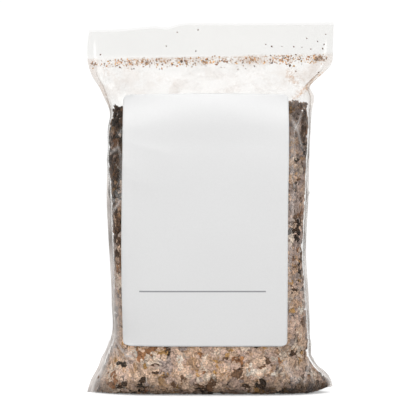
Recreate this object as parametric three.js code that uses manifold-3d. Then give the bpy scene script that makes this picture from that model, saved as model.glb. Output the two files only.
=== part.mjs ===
// A press-zip bag of crushed mica, standing on its folded base.
// Millimetres, +Z up, the labelled front faces -Y, the middle of the base is the origin.

import * as THREE from "three";
import Module from "manifold-3d";
import { mergeVertices } from "three/addons/utils/BufferGeometryUtils.js";

const wasm = await Module();
wasm.setup();

// ---- driving dimensions ----

const FILM = 0.4;              // wall of the film panels
const GAP = 0.3;               // clearance between pieces that touch
const SEAM = 3.5;              // width of the sealed side seams
const BASE_RADIUS = 7;         // round edge where the panels turn under the base
const EAR_LIFT = 4;            // height of the right ear's tip above the floor

const LIP_TOP_FRONT = 224.5;   // top edge of the front lip
const LIP_TOP_BACK = 227.5;    // top edge of the back lip
const ZIP_HEIGHT = 204;        // middle of the press-zip
const ZIP_TILT = THREE.MathUtils.degToRad(1.4);
const ZIP_HALF_LENGTH = 65;
const ZIP_HALF_DEPTH = 2.2;    // from the zip's middle plane to the middle of the film
const TRACK_BACK = 1.6;        // from the zip's middle plane to the back of a track

const FILL_TOP = 180;          // crown of the mica
const FILL_CLEARANCE = 0.8;    // from the middle of the film to the fill

const LABEL_WIDTH = 101.6;
const LABEL_HEIGHT = 152.4;
const LABEL_CORNER = 3;
const LABEL_PAPER = 0.2;
const LABEL_CLEARANCE = 0.6;   // from the film's outer face, so that the flat facets of both stay apart
const LABEL_BOTTOM = 29.5;
const LABEL_CENTRE_X = -3.5;

// outline of the standing bag: height, left edge, right edge
const OUTLINE = [
  [0, -75.5, 75.5],
  [7, -74, 74.5],
  [14, -70, 68],
  [22, -66.5, 63],
  [32, -61.5, 62],
  [56, -60.5, 60.8],
  [88, -62, 59],
  [118, -63.5, 60.5],
  [150, -62, 61.3],
  [172, -61, 62.5],
  [182, -65.5, 64.2],
  [192, -71.2, 66],
  [201, -74.8, 74.2],
  [212, -75.6, 75.6],
  [228, -74.2, 76],
];

// half depth of the bag: height, front, back
const DEPTH = [
  [0, 24.5, 24],
  [14, 25.5, 25.5],
  [60, 26, 26.5],
  [110, 25, 25.5],
  [150, 22.5, 23],
  [176, 17.5, 17.5],
  [188, 9.5, 9],
  [198, 3.2, 3.2],
  [204, ZIP_HALF_DEPTH, ZIP_HALF_DEPTH],
  [209, ZIP_HALF_DEPTH, ZIP_HALF_DEPTH],
  [228, 1.2, 1.6],
];

// how boxy a level section is: height, corner power, end power (2 is round, 1 is a thin ear)
const FULLNESS = [
  [0, 5, 1],
  [20, 4.6, 1.4],
  [45, 5, 2.4],
  [160, 5, 2.4],
  [182, 3.4, 1.5],
  [197, 12, 1.2],
  [201, 24, 1],
  [210, 24, 1],
  [228, 8, 1],
];

const COLOURS = {
  film: 0xf1ede8,
  zip: 0xe9ddd0,
  paper: 0xf0f0f0,
  mica: 0x96806f,
};

// ---- smooth values over height ----

function overHeight(stations, column) {
  const heights = stations.map((station) => station[0]);
  const values = stations.map((station) => station[column]);
  const curve = new THREE.CubicInterpolant(heights, values, 1);
  return (z) => curve.evaluate(z)[0];
}

const leftEdge = overHeight(OUTLINE, 1);
const rightEdge = overHeight(OUTLINE, 2);
const frontDepth = overHeight(DEPTH, 1);
const backDepth = overHeight(DEPTH, 2);
const cornerPower = overHeight(FULLNESS, 1);
const endPower = overHeight(FULLNESS, 2);

// fullness of a level section from its middle (0) to where the side seam starts (1)
function fullness(across, z) {
  const left = Math.max(0, 1 - Math.abs(across) ** cornerPower(z));
  return left ** (1 / endPower(z));
}

function middleOf(z) {
  return (leftEdge(z) + rightEdge(z)) / 2;
}

function bodyHalfWidth(z) {
  return (rightEdge(z) - leftEdge(z)) / 2 - SEAM;
}

// ---- the film ----

// heights of the rows of facets, on the lip and headspace and on the full part of the bag
const UPPER_ROWS = [215, 208, ZIP_HEIGHT, 200, 195, 189, 182];
const FACE_ROWS = [177, 171, 162, 150, 134, 114, 90, 66, 46, 32];

// rows down one panel: plain heights, then round the bottom edge, then under the base
function panelRows(lipTop, depthAt) {
  const heights = [lipTop, ...UPPER_ROWS, ...FACE_ROWS, 18];
  const rows = heights.map((z) => ({ z, depth: depthAt(z) }));
  const arcSteps = 3;
  for (let i = 0; i <= arcSteps; i++) {
    const angle = (i / arcSteps) * (Math.PI / 2);
    const z = BASE_RADIUS * (1 - Math.sin(angle));
    rows.push({ z, depth: depthAt(z) - BASE_RADIUS * (1 - Math.cos(angle)) });
  }
  const underDepth = depthAt(0) - BASE_RADIUS;
  rows.push({ z: 0, depth: underDepth / 2, under: true });
  rows.push({ z: 0, depth: 0, under: true });
  rows[rows.length - 3].under = true;
  return rows;
}

// columns across one panel: seam edge, seam root, then closer together towards the sides
function panelColumns(bodySteps) {
  const columns = [{ seam: -1, across: -1 }];
  for (let i = 0; i <= bodySteps; i++) {
    const angle = (i / bodySteps - 0.5) * Math.PI;
    columns.push({ seam: 0, across: Math.sin(angle) });
  }
  columns.push({ seam: 1, across: 1 });
  return columns;
}

// lift of the base towards the right ear's tip
function earLift(x, z) {
  const out = THREE.MathUtils.smoothstep(x, 50, 76);
  const low = 1 - THREE.MathUtils.smoothstep(z, 0, 24);
  return EAR_LIFT * out * low;
}

// a point on the middle of the film; side is -1 for the front panel and 1 for the back one
function filmPoint(side, row, column) {
  const x = middleOf(row.z) + column.across * bodyHalfWidth(row.z) + column.seam * SEAM;
  const sealed = GAP / 2 + FILM / 2;
  const bulge = Math.max(0, row.depth - sealed) * fullness(column.across, row.z);
  return new THREE.Vector3(x, side * (sealed + bulge), row.z + FILM / 2 + earLift(x, row.z));
}

// outward directions over a grid of points, from the neighbours along both ways
function gridNormals(grid, side) {
  return grid.map((line, r) => line.map((point, c) => {
    const up = grid[Math.max(r - 1, 0)][c];
    const down = grid[Math.min(r + 1, grid.length - 1)][c];
    const left = line[Math.max(c - 1, 0)];
    const right = line[Math.min(c + 1, line.length - 1)];
    const across = new THREE.Vector3().subVectors(right, left);
    const along = new THREE.Vector3().subVectors(up, down);
    return across.cross(along).normalize().multiplyScalar(-side);
  }));
}

// a closed sheet between two grids of points with the same rows and columns
function sheetGeometry(outer, inner) {
  const rows = outer.length;
  const columns = outer[0].length;
  const lastRow = rows - 1;
  const lastColumn = columns - 1;
  const positions = [...outer.flat(), ...inner.flat()].flatMap((point) => point.toArray());
  const faces = [];
  const quad = (a, b, c, d) => faces.push(a, b, c, a, c, d);
  const at = (layer, r, c) => layer * rows * columns + r * columns + c;
  for (let r = 0; r < rows - 1; r++) {
    for (let c = 0; c < columns - 1; c++) {
      quad(at(0, r, c), at(0, r + 1, c), at(0, r + 1, c + 1), at(0, r, c + 1));
      quad(at(1, r, c), at(1, r, c + 1), at(1, r + 1, c + 1), at(1, r + 1, c));
    }
  }
  for (let c = 0; c < columns - 1; c++) {
    quad(at(0, 0, c), at(0, 0, c + 1), at(1, 0, c + 1), at(1, 0, c));
    quad(at(0, lastRow, c + 1), at(0, lastRow, c), at(1, lastRow, c), at(1, lastRow, c + 1));
  }
  for (let r = 0; r < rows - 1; r++) {
    quad(at(0, r + 1, 0), at(0, r, 0), at(1, r, 0), at(1, r + 1, 0));
    quad(at(0, r, lastColumn), at(0, r + 1, lastColumn), at(1, r + 1, lastColumn), at(1, r, lastColumn));
  }
  const geometry = new THREE.BufferGeometry();
  geometry.setAttribute("position", new THREE.Float32BufferAttribute(positions, 3));
  geometry.setIndex(faces);
  geometry.computeVertexNormals();
  return geometry;
}

function filmMaterial() {
  return new THREE.MeshStandardMaterial({
    color: COLOURS.film,
    roughness: 0.2,
    metalness: 0,
    transparent: true,
    opacity: 0.35,
  });
}

function bagPanel(name, side, lipTop, depthAt) {
  const rows = panelRows(lipTop, depthAt);
  const columns = panelColumns(18);
  const middle = rows.map((row) => columns.map((column) => filmPoint(side, row, column)));
  const normals = gridNormals(middle, side);
  rows.forEach((row, r) => columns.forEach((column, c) => {
    if (column.seam !== 0) normals[r][c].set(0, side, 0);
    if (row.under) normals[r][c].set(0, 0, -1);
  }));
  const offset = (amount) => middle.map((line, r) => line.map((point, c) => {
    return point.clone().addScaledVector(normals[r][c], amount);
  }));
  const order = (grid) => (side < 0 ? grid : grid.map((line) => [...line].reverse()));
  const geometry = sheetGeometry(order(offset(FILM / 2)), order(offset(-FILM / 2)));
  const mesh = new THREE.Mesh(geometry, filmMaterial());
  mesh.name = name;
  return mesh;
}


// ---- the press-zip ----

function zipMaterial() {
  return new THREE.MeshStandardMaterial({ color: COLOURS.zip, roughness: 0.35, metalness: 0 });
}

// a strip with one level section all the way, tilted as the zip runs; section points are [depth, height]
function zipTrack(name, section) {
  const outline = new THREE.Shape(section.map(([depth, height]) => new THREE.Vector2(depth, height)));
  const length = 2 * ZIP_HALF_LENGTH;
  const geometry = new THREE.ExtrudeGeometry(outline, { depth: length, steps: 1, bevelEnabled: false });
  geometry.translate(0, 0, -ZIP_HALF_LENGTH);
  geometry.applyMatrix4(new THREE.Matrix4().makeBasis(
    new THREE.Vector3(0, 1, 0),
    new THREE.Vector3(0, 0, 1),
    new THREE.Vector3(1, 0, 0),
  ));
  const mesh = new THREE.Mesh(geometry, zipMaterial());
  mesh.name = name;
  mesh.rotation.y = -ZIP_TILT;
  mesh.position.set(middleOf(ZIP_HEIGHT), 0, ZIP_HEIGHT);
  return mesh;
}

// the ridge: a backing strip on the front panel, a stem and a round-backed head
function zipRidge() {
  const back = -TRACK_BACK;
  const face = back + 0.5;
  return zipTrack("zip_ridge_track", [
    [back, -3], [face, -3], [face, -0.3], [-0.1, -0.3], [-0.1, -0.7],
    [0.3, -0.7], [0.7, -0.3], [0.7, 0.3], [0.3, 0.7],
    [-0.1, 0.7], [-0.1, 0.3], [face, 0.35], [face, 3], [back, 3],
  ]);
}

// the groove: a backing strip on the back panel with two hooked jaws round the ridge's head
function zipGroove() {
  const back = TRACK_BACK;
  const face = back - 0.5;
  return zipTrack("zip_groove_track", [
    [back, -3], [back, 3], [face, 3], [face, 1.7], [-0.8, 1.7], [-0.8, 0.75], [-0.45, 0.75],
    [-0.45, 1.1], [face, 1.1], [face, -1.1], [-0.45, -1.1], [-0.45, -0.75], [-0.8, -0.75],
    [-0.8, -1.7], [face, -1.7], [face, -3],
  ]);
}

// ---- the label ----

// distance across the front at the label's middle height, turned into a place along X
function labelAcross(fromCentre) {
  const z = LABEL_BOTTOM + LABEL_HEIGHT / 2;
  const step = 0.25 * Math.sign(fromCentre);
  let x = LABEL_CENTRE_X;
  let gone = 0;
  while (gone < Math.abs(fromCentre)) {
    gone += frontSkin(x, z).distanceTo(frontSkin(x + step, z));
    x += step;
  }
  return x;
}

// a point on the middle of the front film
function frontSkin(x, z) {
  const across = (x - middleOf(z)) / bodyHalfWidth(z);
  const depth = frontDepth(z) * fullness(Math.min(Math.abs(across), 1), z);
  return new THREE.Vector3(x, -depth, z + FILM / 2);
}

function frontNormal(x, z) {
  const across = new THREE.Vector3().subVectors(frontSkin(x + 1, z), frontSkin(x - 1, z));
  const along = new THREE.Vector3().subVectors(frontSkin(x, z + 1), frontSkin(x, z - 1));
  return across.cross(along).normalize();
}

function paperMaterial() {
  return new THREE.MeshStandardMaterial({ color: COLOURS.paper, roughness: 0.6, metalness: 0 });
}

// a rounded rectangle of paper, bent to the front of the bag
function label() {
  const half = LABEL_WIDTH / 2;
  const corner = [];
  for (let i = 0; i <= 3; i++) {
    const angle = (i / 3) * (Math.PI / 2);
    const inset = LABEL_CORNER * (1 - Math.sin(angle));
    corner.push({ up: LABEL_CORNER * (1 - Math.cos(angle)), half: half - inset });
  }
  const topRows = corner.map((row) => ({ up: LABEL_HEIGHT - row.up, half: row.half }));
  const middleRows = FACE_ROWS.filter((z) => z > LABEL_BOTTOM + LABEL_CORNER + 1)
    .map((z) => ({ up: z - LABEL_BOTTOM, half }));
  const rows = [...topRows, ...middleRows, ...corner.reverse()];
  const steps = 18;
  const layer = (lift) => rows.map((row) => {
    const z = LABEL_BOTTOM + row.up;
    return Array.from({ length: steps + 1 }, (_, i) => {
      const x = labelAcross((2 * i / steps - 1) * row.half);
      return frontSkin(x, z).addScaledVector(frontNormal(x, z), lift);
    });
  });
  const inner = FILM / 2 + LABEL_CLEARANCE;
  const geometry = sheetGeometry(layer(inner + LABEL_PAPER), layer(inner));
  const mesh = new THREE.Mesh(geometry, paperMaterial());
  mesh.name = "label";
  return mesh;
}

// ---- the mica ----

function solidOf(geometry) {
  const bare = geometry.clone();
  bare.deleteAttribute("normal");
  bare.deleteAttribute("uv");
  const merged = mergeVertices(bare, 1e-4);
  return new wasm.Manifold(new wasm.Mesh({
    numProp: 3,
    vertProperties: merged.attributes.position.array,
    triVerts: new Uint32Array(merged.index.array),
  }));
}

function geometryOf(solid) {
  const mesh = solid.getMesh();
  const geometry = new THREE.BufferGeometry();
  geometry.setAttribute("position", new THREE.Float32BufferAttribute(mesh.vertProperties, 3));
  geometry.setIndex([...mesh.triVerts]);
  geometry.computeVertexNormals();
  return geometry;
}

// how far the fill stops short of the seam root: more down in the thin ears
function fillInset(z) {
  return FILL_CLEARANCE + 0.4 + 5.5 * (1 - THREE.MathUtils.smoothstep(z, 4, 30));
}

// one level ring of the fill, front from left to right and then back again
function fillRing(z, reach, steps) {
  const ring = [];
  for (const side of [-1, 1]) {
    for (let i = 0; i < steps; i++) {
      const angle = (i / steps - 0.5) * Math.PI;
      const across = side < 0 ? Math.sin(angle) : -Math.sin(angle);
      const depthAt = side < 0 ? frontDepth : backDepth;
      const x = middleOf(z) + across * (bodyHalfWidth(z) - fillInset(z)) * reach;
      const y = side * (depthAt(z) - FILL_CLEARANCE - 0.1) * fullness(across, z) * reach;
      ring.push(new THREE.Vector3(x, y, z + earLift(x, z)));
    }
  }
  return ring;
}

// a closed solid through rings that run upwards, with a fan over each end
function loftGeometry(rings, bottom, top) {
  const around = rings[0].length;
  const positions = [bottom, ...rings.flat(), top].flatMap((point) => point.toArray());
  const faces = [];
  const at = (ring, i) => 1 + ring * around + (i % around);
  const last = positions.length / 3 - 1;
  for (let i = 0; i < around; i++) {
    faces.push(0, at(0, i + 1), at(0, i));
    faces.push(last, at(rings.length - 1, i), at(rings.length - 1, i + 1));
    for (let r = 0; r < rings.length - 1; r++) {
      faces.push(at(r, i), at(r, i + 1), at(r + 1, i + 1));
      faces.push(at(r, i), at(r + 1, i + 1), at(r + 1, i));
    }
  }
  const geometry = new THREE.BufferGeometry();
  geometry.setAttribute("position", new THREE.Float32BufferAttribute(positions, 3));
  geometry.setIndex(faces);
  return geometry;
}

// the whole body of mica: flat under, round at the bottom edge, mounded on top
function fillBody() {
  const floor = FILM + GAP + 0.1;
  const rings = [];
  const radius = BASE_RADIUS - FILL_CLEARANCE;
  for (let i = 3; i >= 0; i--) {
    const angle = (i / 3) * (Math.PI / 2);
    const z = floor + radius * (1 - Math.sin(angle));
    const ring = fillRing(z, 1, 12);
    const depth = frontDepth(z) - FILL_CLEARANCE;
    const pull = (depth - radius * (1 - Math.cos(angle))) / depth;
    ring.forEach((point) => {
      point.y *= pull;
    });
    rings.push(ring);
  }
  for (const z of [18, 32, 52, 76, 100, 124, 148, 164, 172]) rings.push(fillRing(z, 1, 12));
  rings.push(fillRing(FILL_TOP - 3, 0.86, 12));
  rings.push(fillRing(FILL_TOP - 0.8, 0.5, 12));
  const bottom = new THREE.Vector3(0, 0, floor);
  const top = new THREE.Vector3(middleOf(FILL_TOP), 0, FILL_TOP);
  return solidOf(loftGeometry(rings, bottom, top));
}

// repeatable draws between 0 and 1
function drawsFrom(seed) {
  let state = seed;
  return () => {
    state = (state * 16807) % 2147483647;
    return state / 2147483647;
  };
}

// where the larger books lie: side, place across the section, height, size
function flakePlaces() {
  const places = [];
  for (const z of [44, 70, 96, 122, 148]) places.push({ side: -1, across: -0.965, z, size: 3.6 });
  for (const z of [36, 58, 84, 108, 134, 160]) places.push({ side: -1, across: 0.95, z, size: 4.2 });
  for (const across of [-0.72, -0.44, -0.16, 0.12, 0.4, 0.68]) {
    places.push({ side: -1, across, z: 17 + 4 * Math.sin(20 * across), size: 4.6 });
  }
  for (const z of [24, 62, 100, 140]) {
    for (const across of [-0.66, -0.2, 0.24, 0.7]) {
      places.push({ side: 1, across: across + 0.06 * Math.sin(z), z: z + 9 * Math.sin(7 * across), size: 6 });
    }
  }
  return places;
}

// a thin six- or seven-sided plate about its own middle, flat along Z
function flakeOutline(size, draw) {
  const corners = draw() < 0.5 ? 6 : 7;
  const points = [];
  for (let i = 0; i < corners; i++) {
    const angle = ((i + 0.5 * draw()) / corners) * 2 * Math.PI;
    const radius = size * (0.8 + 0.3 * draw());
    points.push(new THREE.Vector2(radius * Math.cos(angle), 0.75 * radius * Math.sin(angle)));
  }
  return points;
}

function plateGeometry(points, below, above) {
  const depth = above - below;
  const geometry = new THREE.ExtrudeGeometry(new THREE.Shape(points), { depth, bevelEnabled: false });
  geometry.translate(0, 0, below);
  return geometry;
}

// middle of the fill's side at a place, and the way out of it
function fillSide({ side, across, z }) {
  const depthAt = side < 0 ? frontDepth : backDepth;
  const point = (a, h) => new THREE.Vector3(
    middleOf(h) + a * (bodyHalfWidth(h) - fillInset(h)),
    side * (depthAt(h) - FILL_CLEARANCE - 0.1) * fullness(a, h),
    h,
  );
  const acrossWay = new THREE.Vector3().subVectors(point(across + 0.01, z), point(across - 0.01, z));
  const upWay = new THREE.Vector3().subVectors(point(across, z + 1), point(across, z - 1));
  const normal = acrossWay.cross(upWay).normalize().multiplyScalar(-side);
  return { point: point(across, z), normal };
}

function micaMaterial(tone) {
  const colour = new THREE.Color(COLOURS.mica).multiplyScalar(tone);
  return new THREE.MeshStandardMaterial({ color: colour, roughness: 0.35, metalness: 0.2 });
}

// the fill with a shallow well for each book, and the books in their wells
function mica() {
  const draw = drawsFrom(41);
  const whole = fillBody();
  let body = whole;
  const books = flakePlaces().map((place, index) => {
    const { point, normal } = fillSide(place);
    const thickness = 0.7 + 0.6 * draw();
    const outline = flakeOutline(place.size, draw);
    const wider = outline.map((corner) => corner.clone().multiplyScalar(1 + GAP / (0.55 * place.size)));
    const tilt = new THREE.Vector3(draw() - 0.5, draw() - 0.5, draw() - 0.5).multiplyScalar(0.35);
    const turn = new THREE.Quaternion().setFromUnitVectors(
      new THREE.Vector3(0, 0, 1),
      normal.clone().add(tilt).normalize(),
    );
    turn.multiply(new THREE.Quaternion().setFromAxisAngle(new THREE.Vector3(0, 0, 1), 2 * Math.PI * draw()));
    const plate = plateGeometry(outline, -thickness / 2, thickness / 2);
    let sunk = thickness;
    let seat = null;
    let outside = 1;
    while (outside > 1e-3) {
      sunk += 0.3;
      seat = new THREE.Matrix4().compose(
        point.clone().addScaledVector(normal, -sunk),
        turn,
        new THREE.Vector3(1, 1, 1),
      );
      outside = solidOf(plate.clone().applyMatrix4(seat)).subtract(whole).volume();
    }
    const well = plateGeometry(wider, -thickness / 2 - GAP, sunk + 4 * thickness).applyMatrix4(seat);
    body = body.subtract(solidOf(well));
    const book = new THREE.Mesh(plate, micaMaterial(0.7 + 0.6 * draw()));
    book.name = `flake_${String(index + 1).padStart(2, "0")}`;
    book.applyMatrix4(seat);
    return book;
  });
  const fill = new THREE.Mesh(geometryOf(body), micaMaterial(1));
  fill.name = "mica_fill";
  return [fill, ...books];
}

// ---- the filled bag ----

const bag = new THREE.Group();
bag.add(bagPanel("bag_front_panel", -1, LIP_TOP_FRONT, frontDepth));
bag.add(bagPanel("bag_back_panel", 1, LIP_TOP_BACK, backDepth));
bag.add(zipRidge());
bag.add(zipGroove());
bag.add(label());
bag.add(...mica());

export default bag;
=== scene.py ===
# A press-zip bag of crushed mica, standing on its folded base.
# Metres, +Z up, the labelled front faces -Y, the middle of the base is the origin.

import math

import bmesh
import bpy
import numpy as np
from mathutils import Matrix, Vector


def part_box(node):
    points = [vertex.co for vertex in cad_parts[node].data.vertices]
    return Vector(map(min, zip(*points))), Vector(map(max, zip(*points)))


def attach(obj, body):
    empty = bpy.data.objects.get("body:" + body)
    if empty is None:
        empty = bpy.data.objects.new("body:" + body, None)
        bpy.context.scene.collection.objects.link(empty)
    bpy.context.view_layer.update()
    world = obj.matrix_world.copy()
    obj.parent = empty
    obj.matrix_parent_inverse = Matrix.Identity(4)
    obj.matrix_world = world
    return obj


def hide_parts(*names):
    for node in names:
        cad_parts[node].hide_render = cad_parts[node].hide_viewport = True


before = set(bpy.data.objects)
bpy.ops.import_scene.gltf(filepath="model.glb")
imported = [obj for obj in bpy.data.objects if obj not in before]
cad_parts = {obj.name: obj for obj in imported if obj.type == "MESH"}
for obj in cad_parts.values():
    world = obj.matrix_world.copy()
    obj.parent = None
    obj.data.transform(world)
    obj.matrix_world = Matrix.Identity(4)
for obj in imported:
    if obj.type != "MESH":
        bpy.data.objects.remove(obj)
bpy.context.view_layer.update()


# ---- Camera and studio ----
# The bag stands on a white table against white, seen straight on from a little over a metre.
# Two soft boxes stand in front at the sides, one hangs overhead and one behind, and the room
# fills in. Away from the bag the camera sees table and room as the same even white.

MM = 0.001
CAMERA_DISTANCE = 1.1
CAMERA_HEIGHT = 112 * MM
ROOM_LIGHT = 0.55
SEEN_WHITE = 1.05
TABLE_NEAR = 0.16
TABLE_FAR = 0.4

camera_data = bpy.data.cameras.new("camera")
camera_data.lens = 157
camera_data.sensor_width = 36
camera_data.clip_end = 20
camera = bpy.data.objects.new("camera", camera_data)
camera.location = (0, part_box("label")[0].y - CAMERA_DISTANCE, CAMERA_HEIGHT)
camera.rotation_euler = (math.radians(90), 0, 0)
bpy.context.collection.objects.link(camera)
bpy.context.scene.camera = camera
bpy.context.scene.view_settings.view_transform = "Standard"
bpy.context.scene.cycles.transparent_max_bounces = 24  # enough for every layer of film and zip


def feed(tree, node, inputs):
    """Gives each input of a node its value, or links it to the output that feeds it."""
    for socket, value in inputs.items():
        if isinstance(value, bpy.types.NodeSocket):
            tree.links.new(value, node.inputs[socket])
        else:
            node.inputs[socket].default_value = value


def add_node(tree, kind, inputs=None, **settings):
    """A new node of one kind, with its settings made and its inputs fed."""
    made = tree.nodes.new("ShaderNode" + kind)
    for name, value in settings.items():
        setattr(made, name, value)
    feed(tree, made, inputs or {})
    return made


def math_node(tree, operation, *values, clamp=False):
    inputs = dict(enumerate(values))
    return add_node(tree, "Math", inputs, operation=operation, use_clamp=clamp).outputs[0]


def ranged(tree, value, from_min=0, from_max=1, to_min=0, to_max=1):
    """The value moved from one range to another and held within it."""
    limits = {"From Min": from_min, "From Max": from_max, "To Min": to_min, "To Max": to_max}
    return add_node(tree, "MapRange", {"Value": value, **limits}).outputs["Result"]


room = bpy.data.worlds.new("white_room")
room.use_nodes = True
room_tree = room.node_tree
room_seen = add_node(room_tree, "LightPath").outputs["Is Camera Ray"]
room_level = ranged(room_tree, room_seen, to_min=ROOM_LIGHT, to_max=SEEN_WHITE)
feed(room_tree, room_tree.nodes["Background"], {"Color": (1, 1, 1, 1), "Strength": room_level})
bpy.context.scene.world = room


# name, width, height, power and place of each soft box: all of them face the bag
SOFT_BOXES = [
    ("left_box", 0.35, 0.7, 6.3, (-1.0, -0.75, 0.4)),
    ("right_box", 0.3, 0.7, 6.3, (1.0, -0.8, 0.35)),
    ("overhead_box", 0.9, 0.6, 4.4, (0, -0.15, 1.2)),
    ("back_box", 0.9, 0.5, 4.0, (0.2, 1.1, 0.7)),
]
LAMP_AIM = Vector((0, 0, 0.1))
for lamp_name, width, height, power, place in SOFT_BOXES:
    lamp_data = bpy.data.lights.new(lamp_name, "AREA")
    lamp_data.shape = "RECTANGLE"
    lamp_data.size = width
    lamp_data.size_y = height
    lamp_data.energy = power
    lamp = bpy.data.objects.new(lamp_name, lamp_data)
    lamp.location = place
    lamp.rotation_euler = (LAMP_AIM - Vector(place)).to_track_quat("-Z", "Y").to_euler()
    bpy.context.collection.objects.link(lamp)

FLOOR_REACH = 6
floor_form = bmesh.new()
bmesh.ops.create_grid(floor_form, x_segments=1, y_segments=1, size=FLOOR_REACH)
floor_mesh = bpy.data.meshes.new("floor")
floor_form.to_mesh(floor_mesh)
floor_form.free()
floor = bpy.data.objects.new("floor", floor_mesh)
bpy.context.collection.objects.link(floor)
white_table = bpy.data.materials.new("white_table")
white_table.use_nodes = True
table = white_table.node_tree
table_seen = add_node(table, "LightPath").outputs["Is Camera Ray"]
table_finish = table.nodes["Principled BSDF"]
table_inputs = {
    "Base Color": ranged(table, table_seen, to_min=0.4, to_max=0.93),
    "Roughness": 0.9,
    "Specular IOR Level": 0.1,
    "Emission Color": (1, 1, 1, 1),
    "Emission Strength": math_node(table, "MULTIPLY", table_seen, 0.3),
}
feed(table, table_finish, table_inputs)
table_place = add_node(table, "TexCoord").outputs["Object"]
table_reach = add_node(table, "VectorMath", {0: table_place}, operation="LENGTH").outputs["Value"]
table_away = ranged(table, table_reach, TABLE_NEAR, TABLE_FAR)
table_plain = math_node(table, "MULTIPLY", table_away, table_seen)
table_even = add_node(table, "Emission", {"Strength": SEEN_WHITE}).outputs[0]
table_mix = {0: table_plain, 1: table_finish.outputs[0], 2: table_even}
table_blend = add_node(table, "MixShader", table_mix).outputs[0]
feed(table, table.nodes["Material Output"], {"Surface": table_blend})
floor_mesh.materials.append(white_table)


# ---- Film panels ----
# Each web is one sheet of soft clear polyethylene, blown and slit, heat-sealed to the other down
# both sides. It hangs in creases at the shoulders, ears and sides, and mica dust clings inside.

SEALED = 0.35 * MM

# height, left edge, right edge of the bag, in mm
OUTLINE = [
    (0, -75.5, 75.5),
    (7, -73.4, 73.2),
    (14, -69.6, 66.6),
    (22, -66, 61.4),
    (32, -61.2, 61.4),
    (56, -60.5, 60.8),
    (88, -62, 59),
    (118, -63.5, 60.5),
    (150, -62.8, 61.3),
    (160, -62.9, 61.8),
    (172, -61.6, 62.5),
    (182, -65.5, 64.0),
    (188.5, -68.8, 61.7),
    (192, -71.2, 65.2),
    (201, -74.8, 74.2),
    (212, -75.6, 75.6),
    (228, -74.2, 76),
]

# height, half depth of the front and of the back, in mm
DEPTH = [
    (0, 24.5, 24),
    (14, 25.5, 25.5),
    (60, 26, 26.5),
    (110, 25, 25.5),
    (150, 22.5, 23),
    (176, 17.5, 17.5),
    (188, 9.5, 9),
    (198, 3.2, 3.2),
    (204, 2.2, 2.2),
    (209, 2.2, 2.2),
    (228, 1.2, 1.6),
]

# height, how square the section's corners are, how blunt its ends
FULLNESS = [
    (0, 5, 1),
    (20, 4.6, 1.4),
    (45, 5, 2.4),
    (160, 5, 2.4),
    (182, 3.4, 1.5),
    (197, 12, 1.2),
    (201, 24, 1),
    (210, 24, 1),
    (228, 8, 1),
]

# height, width of the flat sealed seam on the left and on the right, in mm: it folds away behind
# where the mica presses out to the edge
SEAMS = [
    (0, 2.2, 0.4),
    (24, 2.2, 0.5),
    (34, 1.4, 0.9),
    (44, 0.9, 1.4),
    (60, 1.2, 1.9),
    (80, 2.2, 2.0),
    (100, 2.6, 2.0),
    (126, 2.4, 1.9),
    (139, 0.5, 1.6),
    (168, 0.5, 1.4),
    (178, 2.0, 2.6),
    (190, 3.5, 3.5),
    (228, 3.5, 3.5),
]
CAD_SEAM = 3.5 * MM
LEAST_SEAM = 0.4 * MM


def over_height(stations, column, unit=MM):
    """A smooth function of height through one column of the stations."""
    heights = np.array([row[0] for row in stations]) * MM
    values = np.array([row[column] for row in stations]) * unit
    slopes = np.gradient(values, heights)

    def value(z):
        z = np.clip(z, heights[0], heights[-1])
        i = np.clip(np.searchsorted(heights, z) - 1, 0, len(heights) - 2)
        step = heights[i + 1] - heights[i]
        t = (z - heights[i]) / step
        rise = values[i] + (3 * t**2 - 2 * t**3) * (values[i + 1] - values[i])
        bend = (t**3 - 2 * t**2 + t) * slopes[i] + (t**3 - t**2) * slopes[i + 1]
        return rise + step * bend

    return value


left_edge, right_edge = over_height(OUTLINE, 1), over_height(OUTLINE, 2)
half_depth = {-1: over_height(DEPTH, 1), 1: over_height(DEPTH, 2)}
corner_power = over_height(FULLNESS, 1, 1)
end_power = over_height(FULLNESS, 2, 1)


def left_seam(z):
    return np.maximum(over_height(SEAMS, 1)(z), LEAST_SEAM)


def right_seam(z):
    return np.maximum(over_height(SEAMS, 2)(z), LEAST_SEAM)


def body_middle(z):
    return (left_edge(z) + left_seam(z) + right_edge(z) - right_seam(z)) / 2


def body_half(z):
    return (right_edge(z) - right_seam(z) - left_edge(z) - left_seam(z)) / 2


def body_depth(side, x, z):
    """How far one web stands from the seam's plane."""
    across = np.clip((x - body_middle(z)) / body_half(z), -1, 1)
    full = (1 - np.abs(across) ** corner_power(z)) ** (1 / end_power(z))
    return SEALED + np.maximum(half_depth[side](z) - SEALED, 0) * full


def smooth_step(value, low, high):
    t = np.clip((value - low) / (high - low), 0, 1)
    return t * t * (3 - 2 * t)


FILM_THICKNESS = 0.12 * MM
ZIP_HEIGHT = 204 * MM
ZIP_SLOPE = math.tan(math.radians(1.4))
HALF_FILM = 0.2 * MM
BASE_RADIUS = 7 * MM
EAR_LIFT = 4 * MM
PANEL_COLUMNS = 180
PANEL_TOP = 227 * MM
LIP_START = 206 * MM
SIDE_FOLDS = 60
TOP_FOLDS = 34

# down the web from the lip, in mm along it: where each stretch ends and how many rows it has
ROW_STRETCHES = [(20, 20), (52, 64), (180, 84), (220, 82), (231, 14), (250, 10)]


def ear_lift(x, z):
    return EAR_LIFT * smooth_step(x, 58 * MM, 80 * MM) * (1 - smooth_step(z, 0, 24 * MM))


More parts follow.
